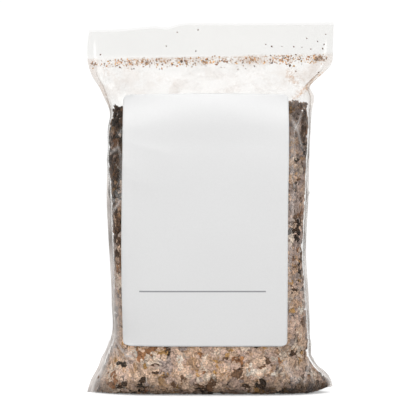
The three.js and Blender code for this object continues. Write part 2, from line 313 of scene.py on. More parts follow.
def crease(x, z, start, end, width, height):
    """A fold with a soft back that runs from start to end, in millimetres, fading at both ends."""
    (ax, az), (bx, bz) = [(px * MM, pz * MM) for px, pz in (start, end)]
    run = (bx - ax) ** 2 + (bz - az) ** 2
    t = np.clip(((x - ax) * (bx - ax) + (z - az) * (bz - az)) / run, 0, 1)
    away = np.hypot(x - ax - t * (bx - ax), z - az - t * (bz - az)) / (width * MM)
    fade = np.sqrt(np.sin(np.pi * np.clip(t, 0.03, 0.97)))
    return height * MM * fade * np.exp(0.45 - np.sqrt(away**2 + 0.2))


# start, end, width and height of the folds that the front shows, in mm
FRONT_FOLDS = [
    ((-59.5, 36), (-54, 28), 0.8, 0.7),
    ((-54, 28), (-50.5, 15), 0.8, 0.6),
    ((-59, 34), (-46, 20), 1.0, 0.35),
    ((-60, 33), (-65, 13), 1.3, 1.0),
    ((-60.5, 34), (-60, 10), 1.2, 1.0),
    ((-59, 35), (-56, 14), 1.1, 0.8),
    ((-63, 128), (-55, 117), 1.3, 1.3),
    ((-62, 118), (-55, 129), 1.2, 1.1),
    ((-63, 141), (-55, 153), 1.3, 1.0),
    ((-61, 165), (-54, 150), 1.4, 1.1),
    ((-61, 102), (-55, 92), 1.3, 0.9),
    ((50, 171), (57, 160), 1.2, 1.0),
    ((53, 173), (60, 158), 1.2, 0.8),
    ((56, 22), (63, 6), 1.2, 1.3),
    ((63, 22), (55, 5), 1.2, 1.2),
    ((57, 33), (70, 10), 1.3, 1.3),
    ((60, 26), (73, 8), 1.2, 1.0),
    ((74, 200), (50, 178), 2.4, 2.0),
    ((70, 203), (56, 182), 1.8, 1.0),
    ((-74, 200), (-60, 172), 2.4, 1.8),
    ((-70, 202), (-50, 184), 2.2, 1.0),
    ((-40, 203), (-34, 184), 3.0, 0.5),
    ((10, 203), (6, 184), 3.5, 0.4),
    ((35, 204), (28, 183), 3.0, 0.6),
]


def small_folds(side, x, z):
    """Short slack folds down both sides, round the ears and under the zip."""
    draw = np.random.default_rng(20 + side)
    lift = np.zeros_like(x)
    for _ in range(SIDE_FOLDS):
        flank = draw.choice([-1, 1])
        middle_x = flank * draw.uniform(51, 61)
        middle_z = draw.uniform(4, 176)
        angle = draw.uniform(0.3, 1.3) * draw.choice([-1, 1])
        reach = draw.uniform(2, 8)
        start = (middle_x - reach * math.cos(angle), middle_z - reach * math.sin(angle))
        end = (middle_x + reach * math.cos(angle), middle_z + reach * math.sin(angle))
        lift += crease(x, z, start, end, draw.uniform(1.5, 2.4), draw.uniform(0.08, 0.32))
    for _ in range(TOP_FOLDS):
        top_x = draw.uniform(-70, 70)
        start = (top_x, 203)
        end = (top_x * draw.uniform(0.7, 0.95), draw.uniform(176, 192))
        lift += crease(x, z, start, end, draw.uniform(1.2, 3), draw.uniform(0.15, 0.5))
    return lift


def slack(side, x, z):
    """Gentle swells of the full bag, which the label follows too."""
    swell = np.sin(x * 105 + 1.3) * np.sin(z * 83 + 0.4 + side) + np.sin(x * 48 - z * 61)
    return 0.22 * MM * (1 + 0.5 * swell)


def lip_top(side, x):
    """Height of the lip's top edge: higher to the right, dipping where the two lips cross."""
    level = 222.3 * MM + 4.4 * MM * smooth_step(x, -62 * MM, -6 * MM)
    dip = 1.6 * MM * np.exp(-(((x + 26 * MM) / (6 * MM)) ** 2))
    return level - dip + (0.6 * MM if side > 0 else -1.0 * MM)


def panel_path():
    """Distance down the web at each row, closer together where it folds most."""
    stops, last = [0.0], 0.0
    for end, rows in ROW_STRETCHES:
        stops += list(np.linspace(last, end, rows + 1)[1:])
        last = end
    return np.array(stops) / last


def panel_points(side):
    """The middle of one web as a grid of points, from the lip down and under the base."""
    across = np.linspace(-1, 1, PANEL_COLUMNS)
    under = half_depth[side](0) - BASE_RADIUS
    arc = BASE_RADIUS * math.pi / 2
    wall = PANEL_TOP - BASE_RADIUS
    path = panel_path() * (wall + arc + under)
    turn = np.clip((path - wall) / BASE_RADIUS, 0, math.pi / 2)
    z = np.where(path <= wall, PANEL_TOP - path, BASE_RADIUS * (1 - np.sin(turn)))
    tuck = np.where(path <= wall, 0, BASE_RADIUS * (1 - np.cos(turn)))
    tuck = tuck + np.clip(path - wall - arc, 0, under)
    rows = z[:, None] + 0 * across[None, :]
    spread = 0.75 * np.sin(across * math.pi / 2) + 0.25 * across
    low, high = left_edge(rows), right_edge(rows)
    x = (low + high) / 2 + spread[None, :] * (high - low) / 2
    full = body_depth(side, x, rows)
    share = (full - SEALED) / (half_depth[side](rows) - SEALED)
    y = side * (full - tuck[:, None] * share)
    above = smooth_step(rows, LIP_START, 222 * MM)
    tall = 1 + above * ((lip_top(side, x) - LIP_START) / (PANEL_TOP - LIP_START) - 1)
    rows = np.where(rows > LIP_START, LIP_START + (rows - LIP_START) * tall, rows)
    return np.stack([x, y, rows + HALF_FILM + ear_lift(x, rows)], -1)


def sheet_object(name, points):
    """A sheet made from a grid of points, rows from the top down."""
    rows, columns = points.shape[:2]
    form = bmesh.new()
    form.loops.layers.uv.new("OFBake")
    bmesh.ops.create_grid(form, x_segments=columns - 1, y_segments=rows - 1, size=1, calc_uvs=True)
    form.verts.ensure_lookup_table()
    for vertex, point in zip(form.verts, points[::-1].reshape(-1, 3)):
        vertex.co = point
    mesh = bpy.data.meshes.new(name)
    form.to_mesh(mesh)
    form.free()
    mesh.shade_smooth()
    made = bpy.data.objects.new(name, mesh)
    bpy.context.collection.objects.link(made)
    return made


def normals_of(points, side):
    out = np.cross(np.gradient(points, axis=1), np.gradient(points, axis=0)) * side
    return out / (np.linalg.norm(out, axis=2, keepdims=True) + 1e-12)


def patch(x, z, middle, reach):
    """A soft round patch, 1 in its middle, in millimetres."""
    across = (x / MM - middle[0]) / reach[0]
    up = (z / MM - middle[1]) / reach[1]
    return np.exp(-(across**2) - up**2)


# middle, reach and strength of the cloudy patches of film on the front
CLOUDY = [
    ((-61.5, 118), (2.4, 13), 0.24),
    ((-61.5, 82), (1.8, 16), 0.26),
    ((-57.5, 50), (3.6, 17), 0.30),
    ((-66, 14), (5, 12), 0.10),
    ((59.5, 62), (2.4, 24), 0.24),
    ((61, 112), (1.8, 40), 0.16),
]

# start, end, width and strength of the painted highlights along the film's sharp creases: pale
# lines in the hazy layer that stand in for the soft boxes' reflections
PAINTED_HIGHLIGHT_LINES = [
    ((-58.2, 34.5), (-53.8, 29), 0.3, 0.28),
    ((-54.4, 29.6), (-49.8, 23.2), 0.25, 0.40),
    ((-50.6, 24.5), (-48.4, 16.5), 0.25, 0.30),
    ((-59.5, 36), (-55, 35), 0.5, 0.22),
    ((-57.4, 31), (-54.8, 23), 0.3, 0.34),
    ((-58, 30), (-57.5, 20), 0.3, 0.26),
    ((-50.5, 24.2), (-46.5, 23.4), 0.5, 0.45),
    ((-59.5, 32), (-61.5, 18), 0.35, 0.30),
    ((-62, 26), (-68, 8), 0.5, 0.28),
    ((-60.5, 118), (-54.5, 117.4), 0.4, 0.35),
    ((-54, 117.5), (-59.5, 110), 0.35, 0.50),
    ((-60, 146), (-55, 150), 0.4, 0.30),
    ((60, 25), (56.5, 6), 0.4, 0.22),
    ((57.5, 22), (63, 5), 0.4, 0.20),
    ((61, 24), (74, 7.5), 0.4, 0.20),
    ((49, 168), (54, 158), 0.35, 0.40),
    ((53, 160), (56, 148), 0.35, 0.30),
    ((56, 172), (51, 160), 0.35, 0.25),
    ((52, 66), (59, 60), 0.4, 0.22),
]

# start, end, width and strength of the lines of tan dust that cling in the headspace's folds
DUST_LINES = [
    ((-68, 203.6), (73.5, 207.2), 0.3, 0.40),
    ((73, 199), (62, 190), 0.9, 0.50),
    ((64, 191), (48, 177), 1.0, 0.55),
    ((71, 202), (54, 183), 2.6, 0.16),
    ((-73, 200), (-60, 173), 1.2, 0.20),
    ((-70, 201), (-44, 186), 2.2, 0.14),
    ((-66, 203), (-62, 184), 2.4, 0.12),
    ((-38, 202), (-20, 186), 3.2, 0.10),
    ((-8, 201), (22, 188), 3.6, 0.10),
    ((20, 199), (44, 187), 3.0, 0.12),
    ((48, 200), (53, 188), 3.0, 0.34),
    ((44, 194), (56, 192), 2.4, 0.24),
]


def film_state(side, x, z):
    """How hazy, smeared and gritty the film is at each point; the hazy share also holds painted
    highlights along the sharp creases.
    """
    off_middle = np.abs(x - body_middle(z)) - body_half(z)
    in_seam = smooth_step(off_middle, -2.0 * MM, -0.3 * MM)
    in_seam *= 1 - smooth_step(body_depth(side, x, z), 2 * MM, 7 * MM)
    zip_line = ZIP_HEIGHT + x * ZIP_SLOPE
    in_lip = smooth_step(z - zip_line, 1 * MM, 4 * MM)
    in_head = smooth_step(z, 172 * MM, 184 * MM) * (1 - in_lip)
    in_lip_haze = 0.025 + 0.1 * x
    low_left = (1 - smooth_step(z, 34 * MM, 48 * MM)) * (x < 0)
    seam_haze = 0.26 - 0.06 * (x > 0) - 0.12 * in_head + 0.22 * low_left
    seam_haze = seam_haze * in_seam * (1 - in_lip)
    if side < 0:
        seam_haze = seam_haze + 0.2 * low_left * smooth_step(off_middle, -6 * MM, -2 * MM)
        veiled = 0.2 * (x < 0) * (1 - smooth_step(z, 118 * MM, 132 * MM))
        veiled = veiled + 0.10 * (x > 0) * (1 - smooth_step(z, 50 * MM, 70 * MM))
        seam_haze = seam_haze + veiled * smooth_step(off_middle, -2.8 * MM, -0.8 * MM)
    haze_and_highlights = 0.004 + in_lip_haze * in_lip + 0.03 * in_head + seam_haze
    if side < 0:
        for middle, reach, strength in CLOUDY:
            haze_and_highlights = haze_and_highlights + strength * patch(x, z, middle, reach)
    at_zip = 1 - smooth_step(np.abs(z - zip_line), 2 * MM, 3.4 * MM)
    smeared = 0.2 * at_zip + 0.6 * in_head
    dusty = 0.07 * at_zip
    if side < 0:
        # painted highlights: pale lines along the sharp creases, added to the hazy share
        for start, end, width, strength in PAINTED_HIGHLIGHT_LINES:
            haze_and_highlights = haze_and_highlights + strength * crease(x, z, start, end, width, 1) / MM
        for start, end, width, strength in DUST_LINES:
            dusty = dusty + strength * crease(x, z, start, end, width, 1) / MM
    return [np.clip(share, 0, 1) for share in (haze_and_highlights, smeared, dusty)]


def lip_sway(x, z):
    """How far both lips swing to the front or back above the zip."""
    sway = 2.2 * MM * np.sin(x / (17 * MM) + 0.8) + 1.5 * MM * np.sin(x / (31 * MM))
    return smooth_step(z, 207 * MM, 227 * MM) * sway


def panel(name, side, folds):
    """One web of the bag, with its folds, its haze and its thickness."""
    points = panel_points(side)
    x, z = points[..., 0], points[..., 2].copy()
    standing = smooth_step(z, 1 * MM, 7 * MM)
    lift = small_folds(side, x, z)
    for start, end, width, height in folds:
        lift += crease(x, z, start, end, width, height)
    filled = 1 - smooth_step(z, 178 * MM, 196 * MM)
    lift += slack(side, x, z) * filled
    state = np.stack([*film_state(side, x, z), np.ones_like(x)], -1)
    points = points + normals_of(points, side) * (lift * standing)[..., None]
    points[..., 1] += lip_sway(x, z)
    past_left = smooth_step(body_middle(z) - x, body_half(z), body_half(z) + CAD_SEAM)
    past_right = smooth_step(x - body_middle(z), body_half(z), body_half(z) + CAD_SEAM)
    flutter = 1.3 * MM * np.sin(z / (9 * MM)) + 0.8 * MM * np.sin(z / (4.1 * MM) + 1)
    below_zip = 1 - smooth_step(z, 190 * MM, 200 * MM)
    points[..., 1] += (past_left + past_right) * flutter * standing * below_zip
    if side > 0:
        points, state = points[:, ::-1], state[:, ::-1]
    made = sheet_object(name, points)
    marks = made.data.color_attributes.new("film", "FLOAT_COLOR", "POINT")
    marks.data.foreach_set("color", state[::-1].ravel().astype(np.float32))
    wall = made.modifiers.new("wall", "SOLIDIFY")
    wall.thickness = FILM_THICKNESS
    wall.offset = 0
    made.data.materials.append(clear_film)
    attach(made, "root")
    return made


# colour of the film's hazy layer, which also paints the pale crease highlights
HAZE_AND_HIGHLIGHT_TINT = (0.79, 0.735, 0.70, 1)
TAN_DUST = (0.64, 0.40, 0.24, 1)
CLEAR_BODY = (0.988, 0.987, 0.983, 1)
CLEAR_LIP = (0.972, 0.972, 0.968, 1)


def film_finish():
    """Clear glossy film with a slight haze, dusty at the zip and a little in the headspace. Its
    hazy layer also shows painted highlights: pale lines along the sharp creases.
    """
    finish = bpy.data.materials.new("clear_film")
    finish.use_nodes = True
    tree = finish.node_tree
    place = add_node(tree, "TexCoord").outputs["Object"]

    def noise(scale, detail):
        inputs = {"Vector": place, "Scale": scale, "Detail": detail, "Roughness": 0.6}
        return add_node(tree, "TexNoise", inputs).outputs[0]

    def mixed_colour(share, first, second):
        inputs = {"Factor": share, "A": first, "B": second}
        return add_node(tree, "Mix", inputs, data_type="RGBA").outputs["Result"]

    def mixed_shader(share, first, second):
        inputs = {0: share, 1: first.outputs[0], 2: second.outputs[0]}
        return add_node(tree, "MixShader", inputs)

    state = add_node(tree, "Attribute", attribute_name="film").outputs["Color"]
    parts = add_node(tree, "SeparateColor", {0: state}).outputs
    smears = ranged(tree, noise(70, 5), 0.42, 0.72, 0, 0.3)
    smears = math_node(tree, "MULTIPLY", smears, parts["Green"])
    grit = ranged(tree, noise(560, 4), 0.38, 0.68, 0.1, 1)
    grit = math_node(tree, "MULTIPLY", grit, parts["Blue"])
    dust = math_node(tree, "MAXIMUM", smears, grit)
    uneven = ranged(tree, noise(45, 3), 0.3, 0.7, 0.8, 1.2)
    haze_and_highlights = math_node(tree, "MULTIPLY", parts["Red"], uneven)
    cover = math_node(tree, "MAXIMUM", dust, haze_and_highlights, clamp=True)
    dustiness = math_node(tree, "MULTIPLY", dust, 4.0, clamp=True)
    tint = mixed_colour(dustiness, HAZE_AND_HIGHLIGHT_TINT, TAN_DUST)
    # the hazy layer: real haze and dust, and painted highlights along the creases
    haze = tree.nodes["Principled BSDF"]
    feed(tree, haze, {"Base Color": tint, "Roughness": 0.5})
    height = add_node(tree, "SeparateXYZ", {0: place}).outputs["Z"]
    above_zip = ranged(tree, height, 205 * MM, 208 * MM)
    passed = mixed_colour(above_zip, CLEAR_BODY, CLEAR_LIP)
    clear = add_node(tree, "BsdfTransparent", {"Color": passed})
    gloss = add_node(tree, "BsdfGlossy", {"Roughness": 0.18})
    facing = add_node(tree, "LayerWeight", {"Blend": 0.5}).outputs["Facing"]
    steep = math_node(tree, "POWER", facing, 5.0)
    shine = math_node(tree, "MULTIPLY_ADD", steep, 0.2, 0.01)
    skin = mixed_shader(shine, clear, gloss)
    whole = mixed_shader(cover, skin, haze)
    feed(tree, tree.nodes["Material Output"], {"Surface": whole.outputs[0]})
    return finish


clear_film = film_finish()
front_film = panel("front_film", -1, FRONT_FOLDS)
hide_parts("bag_front_panel")
back_folds = []
for (start_x, start_z), (end_x, end_z), *form in FRONT_FOLDS:
    back_folds.append(((-start_x, start_z), (-end_x, end_z), *form))
back_film = panel("back_film", 1, back_folds)
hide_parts("bag_back_panel")


# ---- Press-zip ----
# A ridge strip and a groove strip of milky polyethylene, pressed into each other. Fine mica is
# caught along the whole of it, in clumps.

milky_zip = bpy.data.materials.new("milky_zip")
milky_zip.use_nodes = True
zip_tree = milky_zip.node_tree
zip_place = add_node(zip_tree, "TexCoord").outputs["Object"]
zip_stretch = add_node(zip_tree, "Mapping", {"Vector": zip_place, "Scale": (0.25, 1, 4)}).outputs[0]
zip_grain = {"Vector": zip_stretch, "Scale": 160, "Detail": 4}
zip_streaks = add_node(zip_tree, "TexNoise", zip_grain).outputs[0]
zip_inputs = {
    "Base Color": (0.93, 0.88, 0.80, 1),
    "Roughness": 0.3,
    "Alpha": ranged(zip_tree, zip_streaks, 0.3, 0.75, 0, 0.035),
}
feed(zip_tree, zip_tree.nodes["Principled BSDF"], zip_inputs)
for node in ("zip_ridge_track", "zip_groove_track"):
    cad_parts[node].material_slots[0].material = milky_zip


# ---- Mica flakes ----
# Crushed natural mica, poured in loose: thin, uneven plates split along one cleavage. They lie
# every way inside and press flat where they meet the film. The larger ones ride high.

FILL_TOP = 180 * MM
UNDER_FILM = 0.2 * MM
NEAR_FILM = 0.2 * MM
ABOVE_TABLE = 0.4 * MM
CRUMPLE = 0.035
FLAKE_THICKNESS = 0.03
FRONT_SHARE = 0.47
SHAPES = 16
SETTLING_STEPS = 9


def flake_shape(draw, corners, plates, curl=1.0):
    """One loose flake about 1 across: thin plates with ragged outlines, slid over each other."""
    form = bmesh.new()
    narrow = draw.uniform(0.5, 0.95)
    for plate in range(plates):
        rim = bmesh.ops.create_circle(form, cap_ends=False, radius=0.5, segments=corners)["verts"]
        shrink = draw.uniform(0.75, 1.0)
        slide = draw.uniform(-0.08, 0.08, 2)
        for vertex in rim:
            ragged = shrink * draw.uniform(0.55, 1.15)
            vertex.co.x = vertex.co.x * ragged + slide[0]
            vertex.co.y = vertex.co.y * ragged * narrow + slide[1]
        top = form.verts.new((slide[0], slide[1], FLAKE_THICKNESS))
        bottom = form.verts.new((slide[0], slide[1], -FLAKE_THICKNESS / 2))
        for i in range(corners):
            form.faces.new((rim[i], rim[(i + 1) % corners], top))
            form.faces.new((rim[(i + 1) % corners], rim[i], bottom))
        for vertex in [*rim, top, bottom]:
            vertex.co.z += 1.3 * FLAKE_THICKNESS * plate
    bend = curl * draw.uniform(-0.25, 0.25)
    twist = curl * draw.uniform(-0.15, 0.15)
    for vertex in form.verts:
        vertex.co.z += bend * vertex.co.x**2 + twist * vertex.co.x * vertex.co.y
        flat = abs(vertex.co.z) < 3 * FLAKE_THICKNESS
        vertex.co.z += draw.uniform(-1, 1) * (CRUMPLE if flat else 0)
    form.verts.index_update()
    places = np.array([vertex.co for vertex in form.verts])
    faces = np.array([[vertex.index for vertex in face.verts] for face in form.faces])
    form.free()
    return places, faces


def spread_over(corners, faces, share, count, draw):
    """Points spread over triangles by area and share, with the way out of each."""
    a, b, c = (corners[faces[:, i]] for i in range(3))
    cross = np.cross(b - a, c - a)
    area = np.linalg.norm(cross, axis=1)
    weight = area * share((a + b + c) / 3)
    chosen = draw.choice(len(faces), count, p=weight / weight.sum())
    u, v = draw.random(count), draw.random(count)
    swap = u + v > 1
    u[swap], v[swap] = 1 - u[swap], 1 - v[swap]
    points = a[chosen] + u[:, None] * (b - a)[chosen] + v[:, None] * (c - a)[chosen]
    return points, cross[chosen] / (area[chosen, None] + 1e-15)


def inside_of_web(side):
    """The web's form as triangles whose normals point out of the bag."""
    points = panel_points(side)
    rows, columns = points.shape[:2]
    at = np.arange(rows * columns).reshape(rows, columns)
    a, b, c, d = at[:-1, :-1], at[1:, :-1], at[1:, 1:], at[:-1, 1:]
    faces = np.concatenate([np.stack(t, -1).reshape(-1, 3) for t in ((a, b, c), (a, c, d))])
    return points.reshape(-1, 3), faces if side < 0 else faces[:, ::-1]


label_low, label_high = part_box("label")


def share_seen(places):
    """None behind the label or above the fill, fewer under the base, and all elsewhere."""
    x, y, z = places.T
    inset = 2.5 * MM
    hidden = (x > label_low.x + inset) & (x < label_high.x - inset) & (y < 0)
    hidden &= (z > label_low.z + inset) & (z < label_high.z - inset)
    filled = z < FILL_TOP - 3 * MM + 2 * MM * np.sin(x * 150)
    in_body = np.abs(x - body_middle(z)) < body_half(z) - 0.3 * MM
    return np.where(hidden | ~filled | ~in_body, 0, np.where(z < 0.5 * MM, 0.25, 1))


def on_the_film(count, draw, below=FILL_TOP):
    def share(places):
        return share_seen(places) * (places[:, 2] < below)

    front_count = int(count * FRONT_SHARE)
    front = spread_over(*inside_of_web(-1), share, front_count, draw)
    back = spread_over(*inside_of_web(1), share, count - front_count, draw)
    return np.concatenate([front[0], back[0]]), np.concatenate([front[1], back[1]])


def on_the_top(count, draw):
    """Places on the slope of the fill inside the headspace."""
    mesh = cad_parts["mica_fill"].data
    mesh.calc_loop_triangles()
    corners = np.array([vertex.co for vertex in mesh.vertices])
    faces = np.array([triangle.vertices for triangle in mesh.loop_triangles])

    def share(places):
        return places[:, 2] > FILL_TOP - 8 * MM

    return spread_over(corners, faces, share, count, draw)


def turned(normals, lean, draw):
    """Turning matrices that lay Z along each normal, leaned over by an angle and spun."""
    way = draw.normal(size=normals.shape)
    way -= (way * normals).sum(1)[:, None] * normals
    way /= np.linalg.norm(way, axis=1)[:, None]
    up = normals * np.cos(lean)[:, None] + way * np.sin(lean)[:, None]
    side = np.cross(up, draw.normal(size=normals.shape))
    side /= np.linalg.norm(side, axis=1)[:, None]
    return np.stack([side, np.cross(up, side), up], -1)


def over_the_film(places):
    """How far points reach past the film, measured across the bag and out from its middle."""
    x, y, z = places[..., 0], places[..., 1], places[..., 2]
    z = z - ear_lift(x, z - ear_lift(x, z))
    deep = np.where(y < 0, half_depth[-1](z), half_depth[1](z)) - SEALED
    out = np.clip((np.abs(y) + NEAR_FILM - SEALED) / deep, 0, 1)
    widest = (1 - out ** end_power(z)) ** (1 / corner_power(z))
    across = np.abs(x - body_middle(z)) + NEAR_FILM - widest * body_half(z)
    web = np.where(y < 0, body_depth(-1, x, z), body_depth(1, x, z))
    return across, np.abs(y) + NEAR_FILM - web


def kept_inside(places, normals, allowed, centres):
    """Moves each flake in until its highest point is at its allowed level and inside the film."""
    high = np.einsum("nmi,ni->nm", places - centres[:, None], normals).max(1)
    places = places - (normals * (high - allowed)[:, None])[:, None]
    row = np.arange(len(places))
    for _ in range(SETTLING_STEPS):
        across, out = over_the_film(places)
        worst = np.minimum(across, out).argmax(1)
        corner, across, out = places[row, worst], across[row, worst], out[row, worst]
        beside = across < out
        inward = -np.sign(corner[:, 0] - body_middle(corner[:, 2]))
        back = np.sign(corner[:, 1])
        places[..., 0] += (inward * np.where(beside, np.maximum(across, 0), 0))[:, None]
        places[..., 1] -= (back * np.where(beside, 0, np.maximum(out, 0)))[:, None]
    base = ABOVE_TABLE + ear_lift(places[..., 0], 0)
    places[..., 2] += np.maximum((base - places[..., 2]).max(1), 0)[:, None]
    return places


def joined_flakes(name, shapes, centres, turns, sizes, marks, settle=None):
    """One mesh of many flakes. marks are each flake's kind, shade and polish."""
    draw = np.random.default_rng(len(centres))
    which = draw.integers(len(shapes), size=len(centres))
    cells = math.ceil(math.sqrt(len(centres)))
    verts, faces, colours, maps, so_far = [], [], [], [], 0
    for k, (base, base_faces) in enumerate(shapes):
        mine = np.flatnonzero(which == k)
        placed = np.einsum("nij,mj->nmi", turns[mine] * sizes[mine, None, None], base)
        placed += centres[mine, None]
        if settle is not None:
            placed = settle(placed, mine)
        verts.append(placed.reshape(-1, 3))
        starts = so_far + np.arange(len(mine)) * len(base)
        faces.append((base_faces[None] + starts[:, None, None]).reshape(-1, 3))
        colours.append(np.repeat(marks[mine], len(base), axis=0))
        flat = np.clip(0.5 + 0.8 * base[:, :2], 0.08, 0.92)
        cell = np.stack([mine % cells, mine // cells], 1)
        maps.append(((cell[:, None] + flat[None]) / cells).reshape(-1, 2))
        so_far += len(mine) * len(base)
    verts, faces = np.concatenate(verts), np.concatenate(faces)
    colours, maps = np.concatenate(colours), np.concatenate(maps)
    mesh = bpy.data.meshes.new(name)
    mesh.vertices.add(len(verts))
    mesh.vertices.foreach_set("co", verts.ravel().astype(np.float32))
    mesh.loops.add(faces.size)
    mesh.loops.foreach_set("vertex_index", faces.ravel().astype(np.int32))
    mesh.polygons.add(len(faces))
    mesh.polygons.foreach_set("loop_start", np.arange(0, faces.size, 3, dtype=np.int32))
    mesh.update(calc_edges=True)
    mesh.shade_flat()
    mark = mesh.color_attributes.new("flake", "FLOAT_COLOR", "POINT")
    mark.data.foreach_set("color", np.insert(colours, 3, 1, axis=1).ravel().astype(np.float32))
    bake_map = mesh.uv_layers.new(name="OFBake")
    bake_map.uv.foreach_set("vector", maps[faces.ravel()].ravel().astype(np.float32))
    made = bpy.data.objects.new(name, mesh)
    bpy.context.collection.objects.link(made)
    made.data.materials.append(mica)
    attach(made, "root")
    return made


def mica_tone_group():
    """A flake's colour from its kind and shade, with stains and fine cleavage streaks; the dark
    crinkle lines are partly the flakes' own cleavage edges and partly painted shade in the fine
    grooves the bump raises.
    """
    group = bpy.data.node_groups.new("mica_tone", "ShaderNodeTree")
    for name in ("Kind", "Shade"):
        group.interface.new_socket(name, in_out="INPUT", socket_type="NodeSocketFloat")
    group.interface.new_socket("Colour", in_out="OUTPUT", socket_type="NodeSocketColor")
    group.interface.new_socket("Relief", in_out="OUTPUT", socket_type="NodeSocketFloat")
    given = group.nodes.new("NodeGroupInput").outputs
    result = group.nodes.new("NodeGroupOutput")
    kinds = add_node(group, "ValToRGB", {"Fac": given["Kind"]})
    stops = [
        (0.0, (0.020, 0.011, 0.006)),
        (0.1, (0.082, 0.040, 0.019)),
        (0.2, (0.225, 0.122, 0.070)),
        (0.3, (0.42, 0.19, 0.085)),
        (0.4, (0.64, 0.36, 0.13)),
        (0.5, (0.66, 0.43, 0.295)),
        (0.6, (0.88, 0.625, 0.46)),
        (0.7, (0.78, 0.55, 0.44)),
        (0.8, (0.47, 0.37, 0.335)),
        (0.9, (0.96, 0.765, 0.61)),
        (1.0, (0.96, 0.85, 0.74)),
    ]
    ramp = kinds.color_ramp
    for stop, colour in stops[1:-1]:
        ramp.elements.new(stop).color = (*colour, 1)
    ramp.elements[0].color = (*stops[0][1], 1)
    ramp.elements[len(stops) - 1].color = (*stops[-1][1], 1)
    place = add_node(group, "TexCoord").outputs["Object"]
    stain = {"Vector": place, "Scale": 330, "Detail": 6, "Roughness": 0.68, "Distortion": 1.2}
    stained = add_node(group, "TexNoise", stain).outputs[0]
    stained = ranged(group, stained, 0.32, 0.68, 0.5, 1.26)
    crinkle = {"Vector": place, "Scale": 460, "Detail": 3, "Distortion": 0.9}
    crinkled = add_node(group, "TexNoise", crinkle).outputs[0]
    off_line = math_node(group, "ABSOLUTE", math_node(group, "SUBTRACT", crinkled, 0.5))
    lined = ranged(group, off_line, 0, 0.05, 0.42, 1.06)
    scales = add_node(group, "TexVoronoi", {"Vector": place, "Scale": 1300}).outputs["Color"]
    scaled = add_node(group, "SeparateColor", {0: scales}).outputs["Red"]
    scaled = ranged(group, scaled, 0, 1, 0.72, 1.22)
    # the relief also darkens the colour where it is low: the stains are the flakes' own, the
    # crinkle lines partly painted shade in their grooves
    relief = math_node(group, "MULTIPLY", stained, lined)
    level = math_node(group, "MULTIPLY", relief, scaled)
    shade = math_node(group, "MULTIPLY", level, given["Shade"])
    toned = {0: kinds.outputs["Color"], "Scale": shade}
    tone = add_node(group, "VectorMath", toned, operation="SCALE").outputs[0]
    feed(group, result, {"Colour": tone, "Relief": relief})
    return group


mica_tone = mica_tone_group()


def mica_finish(name):
    """Pearly cleavage plates: pinkish tan and silver, some gold and orange, some near black."""
    finish = bpy.data.materials.new(name)
    finish.use_nodes = True
    tree = finish.node_tree
    mark = add_node(tree, "Attribute", attribute_name="flake").outputs["Color"]
    parts = add_node(tree, "SeparateColor", {0: mark}).outputs
    given = {"Kind": parts["Red"], "Shade": parts["Green"]}
    tone = add_node(tree, "Group", given, node_tree=mica_tone).outputs
    bump = {"Strength": 0.5, "Distance": 0.1 * MM, "Height": tone["Relief"]}
    inputs = {
        "Base Color": tone["Colour"],
        "Roughness": parts["Blue"],
        "Normal": add_node(tree, "Bump", bump).outputs["Normal"],
        "Specular IOR Level": 0.24,
        "Specular Tint": (1.0, 0.76, 0.56, 1),
    }
    feed(tree, tree.nodes["Principled BSDF"], inputs)
    return finish


mica = mica_finish("mica")

# kinds run from near black over rust, gold, pink and slate to silver, each with its share
KINDS = [0.02, 0.1, 0.2, 0.3, 0.4, 0.5, 0.6, 0.7, 0.8, 0.9, 1.0]
LIGHT_MIX = [0.00, 0.01, 0.04, 0.02, 0.04, 0.20, 0.31, 0.21, 0.05, 0.11, 0.01]
DARK_MIX = [0.10, 0.24, 0.33, 0.07, 0.05, 0.10, 0.03, 0.03, 0.04, 0.01, 0.0]
SLATE = 0.78
PATCHES = 800
MATCHING = 0.58


def up_the_left(places):
    """1 where the dark mica shows beside the label's upper left edge."""
    high = smooth_step(places[:, 2], 84 * MM, 142 * MM)
    return high * smooth_step(-places[:, 0], 20 * MM, 45 * MM)


def darkness(places):
    """Share of dark flakes: low at the foot, higher up the right and highest up the left, with a
    painted shadow of dark flakes just under the label's lower left edge.
    """
    high = smooth_step(places[:, 2], 34 * MM, 120 * MM)
    left = smooth_step(-places[:, 0], 0, 30 * MM)
    # painted shadow: more dark flakes in a band just below the label's lower edge, on the left
    under_label = np.exp(-(((places[:, 2] - 29 * MM) / (4 * MM)) ** 2)) * left
    return 0.025 + high * (0.36 + 0.36 * left) + 0.35 * under_label + 0.2 * up_the_left(places)


def brightness(places):
    """How light the flakes are: less up the left and up the right, and at the foot a painted shade
    where the base curves under.
    """
    high = smooth_step(places[:, 2], 60 * MM, 150 * MM)
    right = smooth_step(places[:, 0], 20 * MM, 45 * MM)
    # painted shade: the flakes darken towards the table where the base curves under
    foot = 1 - smooth_step(places[:, 2], 3 * MM, 14 * MM)
    top = smooth_step(places[:, 2], 130 * MM, 165 * MM)
    low = 1 - smooth_step(places[:, 2], 18 * MM, 40 * MM)
    across = (0.1 + 0.05 * high + 0.44 * top) * right + low * (0.2 * right - 0.06)
    left_low = smooth_step(-places[:, 0], 30 * MM, 50 * MM) * (1 - high) * (1 - low)
    return 0.98 - across - 0.12 * left_low - 0.6 * up_the_left(places) - 0.52 * foot


def kinds_at(places, draw):
    dark = draw.random(len(places)) < darkness(places)
    light_kind = draw.choice(KINDS, size=len(places), p=LIGHT_MIX)
    slate = smooth_step(places[:, 0], 30 * MM, 50 * MM)
    slate *= smooth_step(places[:, 2], 30 * MM, 50 * MM)
    light_kind = np.where(draw.random(len(places)) < 0.45 * slate, SLATE, light_kind)
    return np.where(dark, draw.choice(KINDS, size=len(places), p=DARK_MIX), light_kind)


patch_draw = np.random.default_rng(90)
patch_places = on_the_film(PATCHES, patch_draw)[0]
patch_kinds = kinds_at(patch_places, patch_draw)


